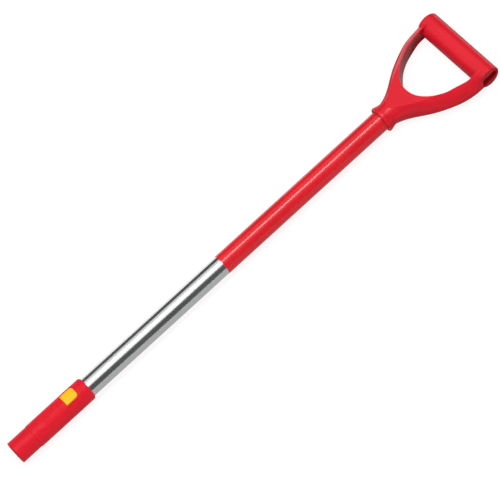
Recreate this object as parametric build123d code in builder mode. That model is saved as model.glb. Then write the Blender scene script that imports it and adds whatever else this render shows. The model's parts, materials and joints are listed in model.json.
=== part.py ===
"""D-grip aluminium handle with a push-button coupling for interchangeable garden tool heads.

Millimetres. +X runs from the open mouth of the tool socket, along the tube, to the hand bar of
the D-grip. The plane of the D is XY, +Z is the side with the release button, and the origin is
the centre of the socket mouth.
"""
from build123d import *
import os

os.makedirs("parts", exist_ok=True)

# ---- driving dimensions -------------------------------------------------------------------
OVERALL = 850.0          # socket mouth to the outside of the hand bar
SLIP = 0.05              # radial clearance of the pieces that are glued, screwed or riveted
RUNNING = 0.35           # gap all round the pieces that slide

TUBE_R = 14.8            # aluminium tube, outside radius
TUBE_WALL = 1.6
TUBE_BORE = TUBE_R - TUBE_WALL
TUBE_START = 33.0        # tool end of the tube, against the shoulder in the coupler
TUBE_END = 720.0         # grip end of the tube

SLEEVE_WALL = 0.45       # shrunk-on plastic sleeve
SLEEVE_R = TUBE_R + SLEEVE_WALL
SLEEVE_START = 385.0
SLEEVE_END = TUBE_END - 1.0

COUPLER_LEN = 134.0
COUPLER_R = 18.0
NOSE_LEN = 33.5
NOSE_R = 17.3
MOUTH_R = 14.4           # bore that takes the spigot of a tool head
MOUTH_DEPTH = 30.0
PAD_START = 40.0         # raised band that carries the button and the fine ribs
PAD_HALF_W = 11.2
PAD_RISE = 0.4
RIB_R = 0.5
RIB_PITCH = 8.0          # degrees round the coupler
RIB_COUNT = 7

TONGUE_W = 20.4          # slot for the flat steel tongue of a tool head
TONGUE_H = 6.0
TONGUE_STOP = 113.5      # where the tip of the tongue comes to rest
GUIDE_LEN = 34.0         # front guide, in the tool end of the tube
BLOCK_START = 80.0       # latch block, in the tube under the button
BLOCK_END = 131.0
SEAT_Z = 5.0             # top of the roof over the tongue slot, where the spring stands

BUTTON_START = 94.7
BUTTON_LEN = 21.5
BUTTON_END = BUTTON_START + BUTTON_LEN
BUTTON_MID = BUTTON_START + BUTTON_LEN / 2
BUTTON_HALF_W = 8.8
BUTTON_CROWN_R = 20.0    # crown of the button, proud of the coupler
BUTTON_BASE_Z = 10.6
BUTTON_TRAVEL = 3.0
GRIP_CORNER = 5.0        # plan radius of the button's corners at the grip end
TOOL_CORNER = 1.2        # and at the tool end

HOOK_HALF_W = 5.0        # latch hook: head plate, upright past the tongue's tip, lower arm
HOOK_TOP = 13.0
HOOK_HEAD_T = 1.6
HOOK_HEAD_START = 97.5
HOOK_LEG_START = 115.5
HOOK_LEG_END = 119.5
HOOK_ARM_START = 97.1
HOOK_ARM_TOP = -3.6
HOOK_ARM_T = 3.0
HOOK_BOTTOM = HOOK_ARM_TOP - HOOK_ARM_T
PEG_X = 102.0
PEG_R = 3.5
PEG_TOP = -TONGUE_H / 2 + BUTTON_TRAVEL - 0.3

SPRING_R = 3.3           # mean radius of the coil
SPRING_WIRE_R = 0.3
SPRING_TURNS = 4

SCREW_STATIONS = {"coupler_screw_front": TUBE_START + 17.0, "coupler_screw_rear": 125.5}
SCREW_R = 2.0
SCREW_HEAD_R = 3.6
SCREW_HEAD_H = 1.3

COLLAR_START = 685.0     # open end of the grip's collar
COLLAR_LIP_R = 20.0
COLLAR_MOUTH_R = 18.3    # flared mouth inside the lip
BAR_R = 17.5             # hand bar
BAR_X = OVERALL - BAR_R
BAR_CORE_X = 27.0        # open core of the hand bar, along and across the handle
BAR_CORE_Z = 14.0
RIVET_X = 703.0
RIVET_R = 2.4
RIVET_SEAT_R = 17.6      # underside of the collar at the rivet

NECK_X = 698.5           # the collar ends here, over the start of the yoke
NECK_R = 17.8
BAR_HALF_W = 66.0
# Outer shape of the grip: station, half-width, half-width between the two ridges of its front,
# half-depth, height of its widest line, and how much the facets outside the ridges bulge.
GRIP_STATIONS = [
    (NECK_X - 1.5, 17.2, 1.0, 17.3, 0.0, 0.19),
    (708.0, 21.0, 8.0, 17.2, -0.8, 0.13),
    (721.0, 28.2, 18.0, 16.9, -2.2, 0.08),
    (737.0, 40.2, 27.5, 16.4, -3.0, 0.07),
    (755.0, 51.8, 36.5, 16.0, -3.0, 0.07),
    (775.0, 61.5, 44.5, 16.0, -3.0, 0.08),
    (799.0, 68.2, 51.0, 16.3, -2.5, 0.10),
    (BAR_X - 13.0, 69.4, 53.0, 16.8, -1.5, 0.13),
    (BAR_X, 68.6, 53.5, 17.2, -0.6, 0.17),
    (BAR_X + 8.5, 67.6, 53.0, 15.0, -0.3, 0.18),
    (BAR_X + 13.5, 66.4, 52.5, 10.8, 0.0, 0.19),
]
BACK_FLAT = 0.85         # share of the ridges' spacing that is flat on the back
# One side of the hand opening at mid depth, from the crotch to the hand bar.
OPENING_SIDE = [(738.0, 0), (748.5, 28.0), (771.5, 45.6), (798.0, 54.4), (BAR_X, 56.5)]
OPENING_DRAFT = 0.045    # the opening is this share narrower in front and wider behind


def cross_plane(x):
    """Plane across the handle at station x: its x is the part's Y, its y is the part's Z."""
    return Plane(origin=(x, 0, 0), x_dir=(0, 1, 0), z_dir=(1, 0, 0))


def finish(builder, name):
    """Label a finished piece and write its file."""
    builder.part.label = name
    export_step(builder.part, f"parts/{name}.step")


# ---- handle tube and its sleeve -----------------------------------------------------------
with BuildPart() as main_tube:
    with BuildSketch(cross_plane(TUBE_START)):
        Circle(TUBE_R)
        Circle(TUBE_BORE, mode=Mode.SUBTRACT)
    extrude(amount=TUBE_END - TUBE_START)
    # window for the button and the top of the latch hook
    with BuildSketch(Plane.XY):
        with Locations(((BUTTON_START + HOOK_LEG_END + 1) / 2, 0)):
            RectangleRounded(HOOK_LEG_END + 2.4 - BUTTON_START, 2 * BUTTON_HALF_W + 1.2, 2.0)
    extrude(amount=TUBE_R + 1, mode=Mode.SUBTRACT)
    # holes underneath, for the two coupler screws and the grip rivet
    with BuildSketch(Plane.XY):
        for screw_x in SCREW_STATIONS.values():
            with Locations((screw_x, 0)):
                Circle(SCREW_R + SLIP)
        with Locations((RIVET_X, 0)):
            Circle(RIVET_R + SLIP)
    extrude(amount=-(TUBE_R + 1), mode=Mode.SUBTRACT)
finish(main_tube, "main_tube")

with BuildPart() as grip_sleeve:
    with BuildSketch(cross_plane(SLEEVE_START)):
        Circle(SLEEVE_R)
        Circle(TUBE_R + SLIP / 2, mode=Mode.SUBTRACT)
    extrude(amount=SLEEVE_END - SLEEVE_START)
    with BuildSketch(Plane.XY):
        with Locations((RIVET_X, 0)):
            Circle(RIVET_R + SLIP)
    extrude(amount=-(SLEEVE_R + 1), mode=Mode.SUBTRACT)
finish(grip_sleeve, "grip_sleeve")


# ---- coupler housing ----------------------------------------------------------------------
def button_plan(margin):
    """Outline of the button seen from above, grown by a margin, as a sketch."""
    with BuildSketch(Plane.XY) as plan:
        with Locations((BUTTON_MID, 0)):
            Rectangle(BUTTON_LEN + 2 * margin, 2 * (BUTTON_HALF_W + margin))
        ends = plan.vertices().group_by(Axis.X)
        fillet(ends[-1], GRIP_CORNER + margin)
        fillet(plan.vertices().group_by(Axis.X)[0], TOOL_CORNER + margin)
    return plan.sketch


with BuildPart() as raised_pad:
    with BuildSketch(Plane.XY):
        with BuildLine():
            nose_tip = (PAD_START, 0)
            nose_side = PAD_START + PAD_HALF_W
            side_end = COUPLER_LEN - 4.6
            Polyline((nose_side, PAD_HALF_W), (side_end, PAD_HALF_W), (side_end, -PAD_HALF_W),
                     (nose_side, -PAD_HALF_W))
            ThreePointArc((nose_side, -PAD_HALF_W), nose_tip, (nose_side, PAD_HALF_W))
        make_face()
    extrude(amount=COUPLER_R + 2)
    with BuildSketch(cross_plane(0)):
        Circle(COUPLER_R + PAD_RISE)
    extrude(amount=COUPLER_LEN, mode=Mode.INTERSECT)

with BuildPart() as coupler_housing:
    with BuildSketch(Plane.XZ):
        with BuildLine():
            Polyline((0, 0), (0, NOSE_R), (NOSE_LEN, NOSE_R), (NOSE_LEN + 0.8, COUPLER_R),
                     (COUPLER_LEN, COUPLER_R), (COUPLER_LEN, 0), close=True)
        make_face()
    revolve(axis=Axis.X)
    fillet(coupler_housing.edges().filter_by(GeomType.CIRCLE).sort_by(Axis.X)[-1], 4.5)
    fillet(coupler_housing.edges().filter_by(GeomType.CIRCLE).sort_by(Axis.X)[0], 0.9)
    add(raised_pad.part)
    # fine lengthwise ribs on the raised band, before and after the button
    for start, stop in ((54.0, BUTTON_START - 3.0), (BUTTON_END + 3.0, COUPLER_LEN - 5.5)):
        with BuildSketch(cross_plane(start)):
            first_rib = 90 - RIB_PITCH * (RIB_COUNT - 1) / 2
            with PolarLocations(COUPLER_R + PAD_RISE - 0.05, RIB_COUNT, start_angle=first_rib,
                                angular_range=RIB_COUNT * RIB_PITCH):
                Circle(RIB_R)
        extrude(amount=stop - start)
    # bores: spigot of the tool head, tongue opening in the shoulder, tube
    with BuildSketch(cross_plane(0)):
        Circle(MOUTH_R)
    extrude(amount=MOUTH_DEPTH, mode=Mode.SUBTRACT)
    with BuildSketch(cross_plane(MOUTH_DEPTH - 0.5)):
        RectangleRounded(TONGUE_W + 2.0, TONGUE_H + 2.0, 0.8)
    extrude(amount=TUBE_START - MOUTH_DEPTH + 1.0, mode=Mode.SUBTRACT)
    with BuildSketch(cross_plane(TUBE_START - SLIP)):
        Circle(TUBE_R + SLIP)
    extrude(amount=COUPLER_LEN, mode=Mode.SUBTRACT)
    # button window
    extrude(button_plan(RUNNING), amount=COUPLER_R + 5, mode=Mode.SUBTRACT)
    # counterbored screw holes underneath
    for screw_x in SCREW_STATIONS.values():
        with Locations(Plane(origin=(screw_x, 0, -COUPLER_R), x_dir=(1, 0, 0), z_dir=(0, 0, -1))):
            CounterBoreHole(SCREW_R + SLIP, SCREW_HEAD_R + 0.2, SCREW_HEAD_H + 0.2, 5.0)
finish(coupler_housing, "coupler_housing")


# ---- tongue guide and latch block, inside the tube ----------------------------------------
with BuildPart() as front_guide:
    with BuildSketch(cross_plane(TUBE_START)):
        Circle(TUBE_BORE - SLIP)
        RectangleRounded(TONGUE_W, TONGUE_H, 0.6, mode=Mode.SUBTRACT)
    extrude(amount=GUIDE_LEN)
    # lead-in at the tool end
    with BuildSketch(cross_plane(TUBE_START)) as lead_in_mouth:
        RectangleRounded(TONGUE_W + 2.0, TONGUE_H + 2.0, 0.8)
    with BuildSketch(cross_plane(TUBE_START + 1.5)) as lead_in_end:
        RectangleRounded(TONGUE_W, TONGUE_H, 0.6)
    loft([lead_in_mouth.sketch, lead_in_end.sketch], mode=Mode.SUBTRACT)
    with BuildSketch(Plane.XY.offset(-TUBE_R)):
        with Locations((SCREW_STATIONS["coupler_screw_front"], 0)):
            Circle(SCREW_R + SLIP)
    extrude(amount=TUBE_R - TONGUE_H / 2 - 1.5, mode=Mode.SUBTRACT)
finish(front_guide, "front_guide")

SHAFT_END = HOOK_LEG_END + RUNNING
ROOM_BOTTOM = HOOK_BOTTOM - BUTTON_TRAVEL - 0.5


def room_floor(start_x):
    """Floor of the latch hook's room in the latch block, from a station to the shaft's end."""
    with BuildSketch(Plane.XY.offset(ROOM_BOTTOM)) as floor:
        with Locations(((start_x + SHAFT_END) / 2, 0)):
            Rectangle(SHAFT_END - start_x, 2 * (HOOK_HALF_W + RUNNING))
    return floor.sketch


with BuildPart() as latch_block:
    with BuildSketch(cross_plane(BLOCK_START)):
        Circle(TUBE_BORE - SLIP)
    extrude(amount=BLOCK_END - BLOCK_START)
    # tongue slot, closed at its end
    with BuildSketch(cross_plane(BLOCK_START)):
        RectangleRounded(TONGUE_W, TONGUE_H, 0.6)
    extrude(amount=TONGUE_STOP - BLOCK_START, mode=Mode.SUBTRACT)
    # well for the button's skirt and the spring
    with BuildSketch(Plane.XY.offset(SEAT_Z)):
        with Locations((BUTTON_MID, 0)):
            RectangleRounded(BUTTON_LEN + 1.2, 2 * BUTTON_HALF_W + 1.0, 1.5)
    extrude(amount=TUBE_R, mode=Mode.SUBTRACT)
    # shaft of the upright, and room for the arm under the slot
    extrude(room_floor(HOOK_LEG_START - RUNNING), amount=2 * TUBE_R, mode=Mode.SUBTRACT)
    extrude(room_floor(HOOK_ARM_START - RUNNING), amount=-TONGUE_H / 2 - ROOM_BOTTOM,
            mode=Mode.SUBTRACT)
    with BuildSketch(Plane.XY.offset(-TUBE_R)):
        with Locations((SCREW_STATIONS["coupler_screw_rear"], 0)):
            Circle(SCREW_R + SLIP)
    extrude(amount=TUBE_R - 4.0, mode=Mode.SUBTRACT)
finish(latch_block, "latch_block")


# ---- release button, latch hook, peg and spring -------------------------------------------
with BuildPart() as release_button:
    extrude(button_plan(0), amount=2 * COUPLER_R)
    with BuildSketch(cross_plane(BUTTON_START - 1)):
        Circle(BUTTON_CROWN_R)
    extrude(amount=BUTTON_LEN + 2, mode=Mode.INTERSECT)
    split(bisect_by=Plane.XY.offset(BUTTON_BASE_Z), keep=Keep.TOP)
    fillet(release_button.faces().filter_by(GeomType.CYLINDER).sort_by(Axis.Z)[-1].edges(), 1.1)
    # pocket underneath that clips over the head of the latch hook
    with BuildSketch(Plane.XY.offset(BUTTON_BASE_Z)):
        with Locations(((HOOK_HEAD_START + BUTTON_END + 2) / 2, 0)):
            Rectangle(BUTTON_END + 2 - HOOK_HEAD_START + 0.1, 2 * HOOK_HALF_W + 0.1)
    extrude(amount=HOOK_TOP - BUTTON_BASE_Z + 0.02, mode=Mode.SUBTRACT)
finish(release_button, "release_button")

with BuildPart() as latch_hook:
    with BuildSketch(Plane.XZ.offset(-HOOK_HALF_W)):
        with BuildLine():
            Polyline((HOOK_HEAD_START, HOOK_TOP), (HOOK_LEG_END, HOOK_TOP),
                     (HOOK_LEG_END, HOOK_BOTTOM), (HOOK_ARM_START, HOOK_BOTTOM),
                     (HOOK_ARM_START, HOOK_ARM_TOP), (HOOK_LEG_START, HOOK_ARM_TOP),
                     (HOOK_LEG_START, HOOK_TOP - HOOK_HEAD_T),
                     (HOOK_HEAD_START, HOOK_TOP - HOOK_HEAD_T), close=True)
        make_face()
    extrude(amount=2 * HOOK_HALF_W)
    bends = latch_hook.edges().filter_by(Axis.Y).group_by(Axis.X)[-1]
    fillet(bends, 1.2)
    # hole for the peg
    with BuildSketch(Plane.XY.offset(HOOK_BOTTOM)):
        with Locations((PEG_X, 0)):
            Circle(PEG_R - 1.2 + 0.01)
    extrude(amount=HOOK_ARM_T, mode=Mode.SUBTRACT)
finish(latch_hook, "latch_hook")

with BuildPart() as latch_peg:
    with BuildSketch(Plane.XY.offset(HOOK_BOTTOM)):
        with Locations((PEG_X, 0)):
            Circle(PEG_R - 1.2)
    extrude(amount=HOOK_ARM_T)
    with BuildSketch(Plane.XY.offset(HOOK_ARM_TOP)):
        with Locations((PEG_X, 0)):
            Circle(PEG_R)
    extrude(amount=PEG_TOP - HOOK_ARM_TOP)
    chamfer(latch_peg.edges().filter_by(GeomType.CIRCLE).sort_by(Axis.Z)[-1], 0.5)
finish(latch_peg, "latch_peg")

SPRING_BOTTOM = SEAT_Z + SPRING_WIRE_R + 0.02
SPRING_LEN = HOOK_TOP - HOOK_HEAD_T - SEAT_Z - 2 * SPRING_WIRE_R - 0.04

with BuildPart() as button_spring:
    with BuildLine():
        coil = Helix(pitch=SPRING_LEN / SPRING_TURNS, height=SPRING_LEN, radius=SPRING_R,
                     center=(PEG_X, 0, SPRING_BOTTOM), direction=(0, 0, 1))
    with BuildSketch(Plane(origin=coil @ 0, z_dir=coil % 0)):
        Circle(SPRING_WIRE_R)
    sweep()
finish(button_spring, "button_spring")


# ---- coupler screws -----------------------------------------------------------------------
def coupler_screw(screw_x, length):
    """Pan-head screw with a cross recess, driven upwards from the underside."""
    head_face = -COUPLER_R + 0.2
    with BuildPart() as screw:
        with BuildSketch(Plane.XY.offset(head_face)):
            with Locations((screw_x, 0)):
                Circle(SCREW_HEAD_R)
        extrude(amount=SCREW_HEAD_H)
        chamfer(screw.edges().filter_by(GeomType.CIRCLE).sort_by(Axis.Z)[0], 0.4)
        with BuildSketch(Plane.XY.offset(head_face + SCREW_HEAD_H)):
            with Locations((screw_x, 0)):
                Circle(SCREW_R)
        extrude(amount=length)
        chamfer(screw.edges().filter_by(GeomType.CIRCLE).sort_by(Axis.Z)[-1], 0.8)
        with BuildSketch(Plane.XY.offset(head_face)):
            with Locations((screw_x, 0)):
                Rectangle(3.6, 0.8)
                Rectangle(0.8, 3.6)
        extrude(amount=0.9, mode=Mode.SUBTRACT)
    return screw


finish(coupler_screw(SCREW_STATIONS["coupler_screw_front"], 10.0), "coupler_screw_front")
finish(coupler_screw(SCREW_STATIONS["coupler_screw_rear"], 11.0), "coupler_screw_rear")


# ---- D-grip -------------------------------------------------------------------------------
def grip_section(station, half_width, ridge, half_depth, edge_z, bulge):
    """Section across the grip: ridged front, facets out to the widest line, rounded back."""
    back = ridge * BACK_FLAT
    mid_y = (ridge + half_width) / 2 + bulge * (half_depth - edge_z)
    mid_z = (half_depth + edge_z) / 2 + bulge * (half_width - ridge)
    with BuildSketch(cross_plane(station)) as section:
        with BuildLine():
            Line((ridge, half_depth), (-ridge, half_depth))
            ThreePointArc((-ridge, half_depth), (-mid_y, mid_z), (-half_width, edge_z))
            EllipticalCenterArc((-back, edge_z), half_width - back, half_depth + edge_z, 180,
                                arc_size=90)
            Line((-back, -half_depth), (back, -half_depth))
            EllipticalCenterArc((back, edge_z), half_width - back, half_depth + edge_z, 270,
                                arc_size=90)
            ThreePointArc((half_width, edge_z), (mid_y, mid_z), (ridge, half_depth))
        make_face()
    return section.sketch


def opening_outline(z, widening):
    """Outline of the hand opening at a height, made wider by a share of its width."""
    side = [(x, y * (1 + widening)) for x, y in OPENING_SIDE]
    with BuildSketch(Plane.XY.offset(z)) as outline:
        with BuildLine():
            Spline(side, tangents=[(0, 1), (1, 0)])
            Spline([(x, -y) for x, y in side], tangents=[(0, -1), (1, 0)])
            Line(side[-1], (side[-1][0], -side[-1][1]))
        make_face()
    return outline.sketch


with BuildPart() as hand_bar:
    with BuildSketch(Plane.XZ.offset(-BAR_HALF_W)):
        with Locations((BAR_X, 0)):
            Circle(BAR_R)
    extrude(amount=2 * BAR_HALF_W)
    fillet(hand_bar.edges().filter_by(GeomType.CIRCLE), 2.0)

with BuildPart() as d_grip:
    loft([grip_section(*station) for station in GRIP_STATIONS])
    # hand opening
    loft([opening_outline(-COLLAR_LIP_R, OPENING_DRAFT),
          opening_outline(COLLAR_LIP_R, -OPENING_DRAFT)], mode=Mode.SUBTRACT)
    add(hand_bar.part)
    # collar with a flared lip
    with BuildSketch(Plane.XZ):
        with BuildLine():
            Line((COLLAR_START, 0), (COLLAR_START, COLLAR_LIP_R - 0.8))
            Line((COLLAR_START, COLLAR_LIP_R - 0.8), (COLLAR_START + 0.8, COLLAR_LIP_R))
            Line((COLLAR_START + 0.8, COLLAR_LIP_R), (COLLAR_START + 3.0, COLLAR_LIP_R))
            Spline((COLLAR_START + 3.0, COLLAR_LIP_R), (NECK_X, NECK_R),
                   tangents=[(1, -0.15), (1, 0)])
            Polyline((NECK_X, NECK_R), (NECK_X, NECK_R - 2.3), (NECK_X + 8, NECK_R - 2.3),
                     (NECK_X + 8, 0), (COLLAR_START, 0))
        make_face()
    revolve(axis=Axis.X)
    # bore for the sleeved tube, with a flared mouth
    with BuildSketch(Plane.XZ):
        with BuildLine():
            Polyline((COLLAR_START - 1, 0), (COLLAR_START - 1, COLLAR_MOUTH_R),
                     (COLLAR_START, COLLAR_MOUTH_R), (COLLAR_START + 5, SLEEVE_R + SLIP),
                     (TUBE_END + 0.3, SLEEVE_R + SLIP), (TUBE_END + 0.3, 0), close=True)
        make_face()
    revolve(axis=Axis.X, mode=Mode.SUBTRACT)
    # open core of the hand bar, from each end to a web in the middle
    for side in (-1, 1):
        with BuildSketch(Plane.XZ.offset(-side * 1.5)):
            with Locations((BAR_X, 0)):
                SlotOverall(BAR_CORE_X, BAR_CORE_Z)
        extrude(amount=-side * (BAR_HALF_W + 8), mode=Mode.SUBTRACT)
    # rivet hole underneath
    with BuildSketch(Plane.XY):
        with Locations((RIVET_X, 0)):
            Circle(RIVET_R + SLIP)
    extrude(amount=-COLLAR_LIP_R, mode=Mode.SUBTRACT)
finish(d_grip, "d_grip")


# ---- blind rivet of the grip --------------------------------------------------------------
with BuildPart() as grip_rivet:
    with BuildSketch(Plane.XZ):
        with BuildLine():
            flange_z = -RIVET_SEAT_R - 0.1
            Polyline((RIVET_X + 1.3, flange_z - 1.3), (RIVET_X + 2.6, flange_z - 1.3),
                     (RIVET_X + 4.7, flange_z - 0.3), (RIVET_X + 4.7, flange_z),
                     (RIVET_X + RIVET_R, flange_z), (RIVET_X + RIVET_R, -TUBE_BORE + 0.1),
                     (RIVET_X + RIVET_R + 0.8, -TUBE_BORE + 0.7),
                     (RIVET_X + RIVET_R + 0.8, -TUBE_BORE + 2.2),
                     (RIVET_X + 1.3, -TUBE_BORE + 3.4), close=True)
        make_face()
    revolve(axis=Axis((RIVET_X, 0, 0), (0, 0, 1)))
finish(grip_rivet, "grip_rivet")

with BuildPart() as rivet_mandrel:
    with BuildSketch(Plane.XY.offset(-RIVET_SEAT_R)):
        with Locations((RIVET_X, 0)):
            Circle(1.28)
    extrude(amount=RIVET_SEAT_R - TUBE_BORE + 3.6)
    with BuildSketch(Plane.XY.offset(-TUBE_BORE + 3.42)):
        with Locations((RIVET_X, 0)):
            Circle(2.2)
    extrude(amount=1.4)
finish(rivet_mandrel, "rivet_mandrel")
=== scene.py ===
import json
import math

import bpy
from mathutils import Matrix, Vector


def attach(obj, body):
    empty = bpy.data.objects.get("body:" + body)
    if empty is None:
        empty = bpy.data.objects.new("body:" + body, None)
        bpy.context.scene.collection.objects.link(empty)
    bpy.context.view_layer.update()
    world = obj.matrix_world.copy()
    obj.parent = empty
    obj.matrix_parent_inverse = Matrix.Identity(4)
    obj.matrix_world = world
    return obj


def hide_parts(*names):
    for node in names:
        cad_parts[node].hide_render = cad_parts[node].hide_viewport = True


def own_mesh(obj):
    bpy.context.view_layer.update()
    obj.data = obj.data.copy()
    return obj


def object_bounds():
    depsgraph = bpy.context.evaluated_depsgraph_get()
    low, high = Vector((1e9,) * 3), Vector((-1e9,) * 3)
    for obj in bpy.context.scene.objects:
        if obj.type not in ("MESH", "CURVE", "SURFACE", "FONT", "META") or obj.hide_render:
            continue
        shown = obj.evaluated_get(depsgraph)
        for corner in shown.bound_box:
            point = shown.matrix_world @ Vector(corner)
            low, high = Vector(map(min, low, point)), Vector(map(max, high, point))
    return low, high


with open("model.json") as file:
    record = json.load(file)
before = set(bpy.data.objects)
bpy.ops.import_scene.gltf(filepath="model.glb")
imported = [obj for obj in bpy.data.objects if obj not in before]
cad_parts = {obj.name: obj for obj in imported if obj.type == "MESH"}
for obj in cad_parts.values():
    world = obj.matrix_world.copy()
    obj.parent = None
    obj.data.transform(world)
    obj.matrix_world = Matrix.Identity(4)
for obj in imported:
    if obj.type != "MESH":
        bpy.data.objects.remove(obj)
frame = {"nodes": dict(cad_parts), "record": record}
bounds_at_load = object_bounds()


# ---- materials ----------------------------------------------------------------------------
# noise values that are stretched to the ends of a roughness or colour range
NOISE_LOW, NOISE_HIGH = 0.3, 0.7
COLOUR_LOW, COLOUR_HIGH = 0.35, 0.65

# noise scales of moulded plastic: slow colour drift, patchy sheen, fine grain
DRIFT_SCALE = 22.0
SHEEN_SCALE = 60.0
GRAIN_SCALE = 900.0
GRAIN_DEPTH = 0.0002     # metres


def material(name, colour, roughness, metallic=0.0):
    """A principled material with constant colour and finish on the shader's own sockets."""
    mat = bpy.data.materials.new(name)
    mat.use_nodes = True
    shader = mat.node_tree.nodes["Principled BSDF"]
    shader.inputs["Base Color"].default_value = (*colour, 1.0)
    shader.inputs["Roughness"].default_value = roughness
    shader.inputs["Metallic"].default_value = metallic
    return mat, mat.node_tree, shader


def object_noise(tree, scale, stretch=(1, 1, 1), detail=3.0):
    """Noise in the object's own coordinates."""
    coords = tree.nodes.new("ShaderNodeTexCoord")
    mapping = tree.nodes.new("ShaderNodeMapping")
    mapping.inputs["Scale"].default_value = stretch
    noise = tree.nodes.new("ShaderNodeTexNoise")
    noise.inputs["Scale"].default_value = scale
    noise.inputs["Detail"].default_value = detail
    tree.links.new(coords.outputs["Object"], mapping.inputs["Vector"])
    tree.links.new(mapping.outputs["Vector"], noise.inputs["Vector"])
    return noise


def vary_roughness(tree, shader, noise, low, high):
    """Roughness that wanders between two values with the noise."""
    spread = tree.nodes.new("ShaderNodeMapRange")
    spread.inputs["From Min"].default_value = NOISE_LOW
    spread.inputs["From Max"].default_value = NOISE_HIGH
    spread.inputs["To Min"].default_value = low
    spread.inputs["To Max"].default_value = high
    tree.links.new(noise.outputs["Fac"], spread.inputs["Value"])
    tree.links.new(spread.outputs["Result"], shader.inputs["Roughness"])


def vary_colour(tree, shader, noise, dark, light):
    """Colour that wanders between two close shades with the noise."""
    ramp = tree.nodes.new("ShaderNodeValToRGB")
    ramp.color_ramp.elements[0].position = COLOUR_LOW
    ramp.color_ramp.elements[0].color = (*dark, 1.0)
    ramp.color_ramp.elements[1].position = COLOUR_HIGH
    ramp.color_ramp.elements[1].color = (*light, 1.0)
    tree.links.new(noise.outputs["Fac"], ramp.inputs["Fac"])
    tree.links.new(ramp.outputs["Color"], shader.inputs["Base Color"])


def bumped(tree, shader, noise, strength, distance):
    """A faint surface texture from the noise."""
    bump = tree.nodes.new("ShaderNodeBump")
    bump.inputs["Strength"].default_value = strength
    bump.inputs["Distance"].default_value = distance
    tree.links.new(noise.outputs["Fac"], bump.inputs["Height"])
    tree.links.new(bump.outputs["Normal"], shader.inputs["Normal"])


def moulded(name, dark, light, low, high, grain=0.06, gloss=0.12):
    """Moulded plastic: nearly even colour, slightly uneven sheen, very fine grain."""
    mat, tree, shader = material(name, light, low)
    shader.inputs["Specular IOR Level"].default_value = gloss
    vary_colour(tree, shader, object_noise(tree, DRIFT_SCALE), dark, light)
    vary_roughness(tree, shader, object_noise(tree, SHEEN_SCALE), low, high)
    if grain:
        bumped(tree, shader, object_noise(tree, GRAIN_SCALE, detail=2.0), grain, GRAIN_DEPTH)
    return mat


# dark shade, light shade, lowest and highest roughness
grip_plastic = moulded("grip_plastic", (0.61, 0.010, 0.022), (0.66, 0.012, 0.025),
                       0.20, 0.28, gloss=0.24)
coupler_plastic = moulded("coupler_plastic", (0.63, 0.010, 0.023), (0.68, 0.012, 0.026),
                          0.36, 0.44, gloss=0.10)
sleeve_plastic = moulded("sleeve_plastic", (0.60, 0.011, 0.019), (0.65, 0.013, 0.022),
                         0.11, 0.14, grain=0.0, gloss=0.45)
button_plastic = moulded("button_plastic", (0.86, 0.41, 0.010), (0.93, 0.48, 0.014),
                         0.30, 0.38)
guide_plastic = moulded("guide_plastic", (0.012, 0.012, 0.012), (0.018, 0.018, 0.018),
                        0.5, 0.6)

tube_aluminium, tree, shader = material("tube_aluminium", (0.80, 0.81, 0.82), 0.2, 1.0)
vary_roughness(tree, shader, object_noise(tree, 40.0, (0.05, 1, 1)), 0.16, 0.24)
bumped(tree, shader, object_noise(tree, 500.0, (0.02, 1, 1), 2.0), 0.05, 0.0001)

rivet_aluminium, tree, shader = material("rivet_aluminium", (0.72, 0.72, 0.74), 0.3, 1.0)
vary_roughness(tree, shader, object_noise(tree, 300.0), 0.26, 0.4)

latch_steel, tree, shader = material("latch_steel", (0.55, 0.55, 0.57), 0.3, 1.0)
vary_roughness(tree, shader, object_noise(tree, 250.0, (1, 0.2, 1)), 0.25, 0.4)

spring_steel, tree, shader = material("spring_steel", (0.45, 0.45, 0.47), 0.3, 1.0)
vary_roughness(tree, shader, object_noise(tree, 400.0), 0.25, 0.35)

MATERIALS = {
    "grip_plastic": grip_plastic,
    "sleeve_plastic": sleeve_plastic,
    "coupler_plastic": coupler_plastic,
    "button_plastic": button_plastic,
    "guide_plastic": guide_plastic,
    "tube_aluminium": tube_aluminium,
    "rivet_aluminium": rivet_aluminium,
    "latch_steel": latch_steel,
    "spring_steel": spring_steel,
}

for part in frame["record"]["subparts"]:
    node = frame["nodes"][part["node"]]
    node.data.materials.clear()
    node.data.materials.append(MATERIALS[part["material_slot"]])
    for face in node.data.polygons:
        face.material_index = 0


# ---- spring -------------------------------------------------------------------------------
# the coil stands on the roof over the tongue slot; here a copy of it with its own mesh is
# fixed to the handle
coil = bpy.data.objects.new("button_spring_coil", frame["nodes"]["button_spring"].data.copy())
bpy.context.collection.objects.link(coil)
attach(coil, "handle")
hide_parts("button_spring")
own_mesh(coil)


# ---- floor and backdrop -------------------------------------------------------------------
HALF_LENGTH = bounds_at_load[1][0] / 2
FLOOR_SIZE = 24.0
FLOOR_Z = -0.0201        # just under the coupler and the grip
FLOOR_GLOW = 0.90
CARD_LIFT = 0.0004       # of the reflection cards above the floor
BACKDROP_RADIUS = 11.5   # inside the floor's edges
BACKDROP_GLOW = 0.93


def glow(shader, colour, strength):
    """The surface's own light."""
    shader.inputs["Emission Color"].default_value = (*colour, 1.0)
    shader.inputs["Emission Strength"].default_value = strength


bpy.ops.mesh.primitive_plane_add(size=FLOOR_SIZE, location=(HALF_LENGTH, 0, FLOOR_Z))
floor = bpy.context.object
floor.name = "floor"
floor_mat, tree, shader = material("floor_white", (0.14, 0.13, 0.13), 0.9)
shader.inputs["Specular IOR Level"].default_value = 0.0
# a backlit sheet: most of its light is its own, so the shadow on it stays faint
glow(shader, (1.0, 0.98, 0.98), FLOOR_GLOW)
floor.data.materials.append(floor_mat)


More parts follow.
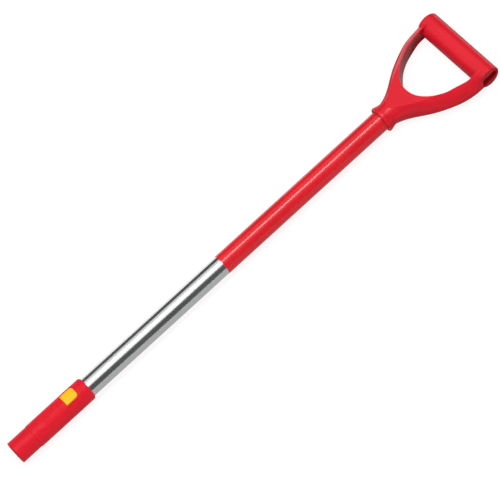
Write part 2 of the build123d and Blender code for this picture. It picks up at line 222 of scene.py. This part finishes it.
def card(name, centre, size, strength):
    """Grey card on the floor that the camera doesn't see and that casts no shadow."""
    bpy.ops.mesh.primitive_plane_add(size=1, location=(*centre, FLOOR_Z + CARD_LIFT))
    plane = bpy.context.object
    plane.name = name
    plane.scale = (*size, 1)
    mat, tree, surface = material(name + "_grey", (0.02, 0.02, 0.02), 0.9)
    glow(surface, (1.0, 1.0, 1.0), strength)
    # clear from below, so that the floor under the card keeps its light
    side = tree.nodes.new("ShaderNodeNewGeometry")
    clear = tree.nodes.new("ShaderNodeBsdfTransparent")
    either = tree.nodes.new("ShaderNodeMixShader")
    tree.links.new(side.outputs["Backfacing"], either.inputs["Fac"])
    tree.links.new(surface.outputs["BSDF"], either.inputs[1])
    tree.links.new(clear.outputs["BSDF"], either.inputs[2])
    tree.links.new(either.outputs["Shader"], tree.nodes["Material Output"].inputs["Surface"])
    plane.data.materials.append(mat)
    plane.visible_camera = False
    plane.visible_shadow = False
    return plane


# the handle's metal reflects a grey card, and the underside of the grip sees a darker one
handle_card = card("handle_card", centre=(0.33, -0.16), size=(1.04, 0.42), strength=0.42)
handle_card.visible_diffuse = False
card("grip_card", centre=(0.79, -0.03), size=(0.20, 0.26), strength=0.06)

# pale backdrop all round, seen only by the camera, so that the tube still reflects a dark room
bpy.ops.mesh.primitive_uv_sphere_add(segments=64, ring_count=32, radius=BACKDROP_RADIUS,
                                     location=(HALF_LENGTH, 0, 0))
backdrop = bpy.context.object
backdrop.name = "backdrop"
backdrop_mat, tree, shader = material("backdrop_white", (0.0, 0.0, 0.0), 1.0)
shader.inputs["Specular IOR Level"].default_value = 0.0
glow(shader, (1.0, 0.985, 0.985), BACKDROP_GLOW)
backdrop.data.materials.append(backdrop_mat)
backdrop.visible_diffuse = False
backdrop.visible_glossy = False
backdrop.visible_transmission = False
backdrop.visible_shadow = False


# ---- lights -------------------------------------------------------------------------------
HANDLE_MID = Vector((0.45, 0.0, 0.0))
CAMERA_ANGLE = 28.9      # degrees from +Z towards -Y, seen along the handle
ROOM_LIGHT = 0.08        # a dark room, so that the tube's bands stay dark


def around(angle, radius):
    """Point beside the middle of the handle, at an angle from +Z towards -Y."""
    turn = math.radians(angle)
    return HANDLE_MID + Vector((0, -math.sin(turn), math.cos(turn))) * radius


def softbox(name, start, stop, radius, length, radiance):
    """Panel along the handle that spans two angles around it, with a given radiance."""
    low, high = around(start, radius), around(stop, radius)
    width = (high - low).length
    data = bpy.data.lights.new(name, "AREA")
    data.shape = "RECTANGLE"
    data.size = length
    data.size_y = width
    data.energy = radiance * math.pi * length * width
    lamp = bpy.data.objects.new(name, data)
    bpy.context.collection.objects.link(lamp)
    centre = (low + high) / 2
    along = Vector((1, 0, 0))
    across = (high - low).normalized()
    face = along.cross(across)
    if face.dot(centre - HANDLE_MID) < 0:
        across = -across
        face = -face
    turned = Matrix((along, across, face)).transposed().to_4x4()
    lamp.matrix_world = Matrix.Translation(centre) @ turned
    lamp.visible_camera = False
    return lamp


world = bpy.data.worlds.new("studio")
bpy.context.scene.world = world
world.use_nodes = True
background = world.node_tree.nodes["Background"]
background.inputs["Color"].default_value = (1.0, 1.0, 1.0, 1.0)
background.inputs["Strength"].default_value = ROOM_LIGHT

# the angles are from the camera's own, so each lamp's reflection falls on a known line
softbox("softbox", start=CAMERA_ANGLE + 1.0, stop=CAMERA_ANGLE - 74,
        radius=1.6, length=3.2, radiance=0.70)
softbox("strip", start=CAMERA_ANGLE - 19, stop=CAMERA_ANGLE - 36,
        radius=1.58, length=3.0, radiance=6.2)
fill = softbox("fill", start=CAMERA_ANGLE + 5, stop=CAMERA_ANGLE + 70,
               radius=3.0, length=3.0, radiance=0.55)
fill.visible_glossy = False


# ---- camera -------------------------------------------------------------------------------
CAMERA_PLACE = Vector((-0.2776, -2.6561, 4.7897))
CAMERA_RIGHT = Vector((0.73312, -0.63526, -0.24286))     # towards the picture's right edge
CAMERA_BACK = Vector((-0.12770, -0.47933, 0.86830))      # from the handle towards the camera
CAMERA_LENS = 288.0      # mm
SENSOR_WIDTH = 36.0      # mm
CLIP_END = 60.0          # past the backdrop and the floor's corners

right = CAMERA_RIGHT.normalized()
back = CAMERA_BACK.normalized()
up = back.cross(right).normalized()
right = up.cross(back)
camera_data = bpy.data.cameras.new("camera")
camera_data.lens = CAMERA_LENS
camera_data.sensor_width = SENSOR_WIDTH
camera_data.clip_end = CLIP_END
camera = bpy.data.objects.new("camera", camera_data)
bpy.context.collection.objects.link(camera)
pose = Matrix((right, up, back)).transposed().to_4x4()
pose.translation = CAMERA_PLACE
camera.matrix_world = pose
bpy.context.scene.camera = camera

bpy.context.scene.view_settings.view_transform = "Standard"
